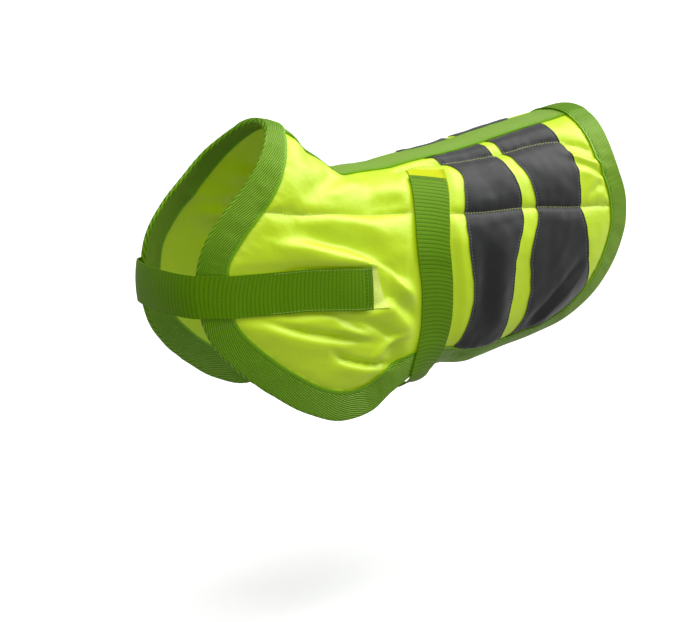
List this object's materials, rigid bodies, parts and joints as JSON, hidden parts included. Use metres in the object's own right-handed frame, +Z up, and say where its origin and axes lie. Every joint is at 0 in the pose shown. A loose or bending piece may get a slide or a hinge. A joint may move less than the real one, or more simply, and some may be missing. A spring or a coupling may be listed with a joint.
{
  "type": "dog coat",
  "caption": "Padded high-visibility dog coat in its worn shape, with bound edges, reflective bands, a chest strap and a girth strap.",
  "frame": {"origin": "on the coat's inner face at the spine, above the girth strap, where the wearer's back carries the coat", "axes": "+X from the neck to the tail along the back, +Y to the wearer's right, +Z up"},
  "size_m": [0.4995, 0.1844, 0.2604],
  "materials": {
    "padded_nylon": "smooth fluorescent yellow nylon, lightly padded, soft sheen",
    "twill_tape": "green twill tape, matt",
    "webbing": "green ribbed webbing, slight sheen",
    "reflective_cloth": "grey reflective cloth, fine glass-bead sheen",
    "loop_cloth": "pale yellow loop cloth, fuzzy and matt"
  },
  "bodies": {
    "root": {"panel_left": "padded_nylon", "panel_right": "padded_nylon", "spine_tape": "twill_tape", "binding_front_left": "twill_tape", "binding_front_right": "twill_tape", "binding_rear_left": "twill_tape", "binding_rear_right": "twill_tape", "reflective_front_left": "reflective_cloth", "reflective_front_right": "reflective_cloth", "reflective_rear_left": "reflective_cloth", "reflective_rear_right": "reflective_cloth", "chest_loop_patch": "loop_cloth", "girth_loop_patch": "loop_cloth", "chest_strap": "webbing", "girth_strap": "webbing"}
  },
  "joints": []
}
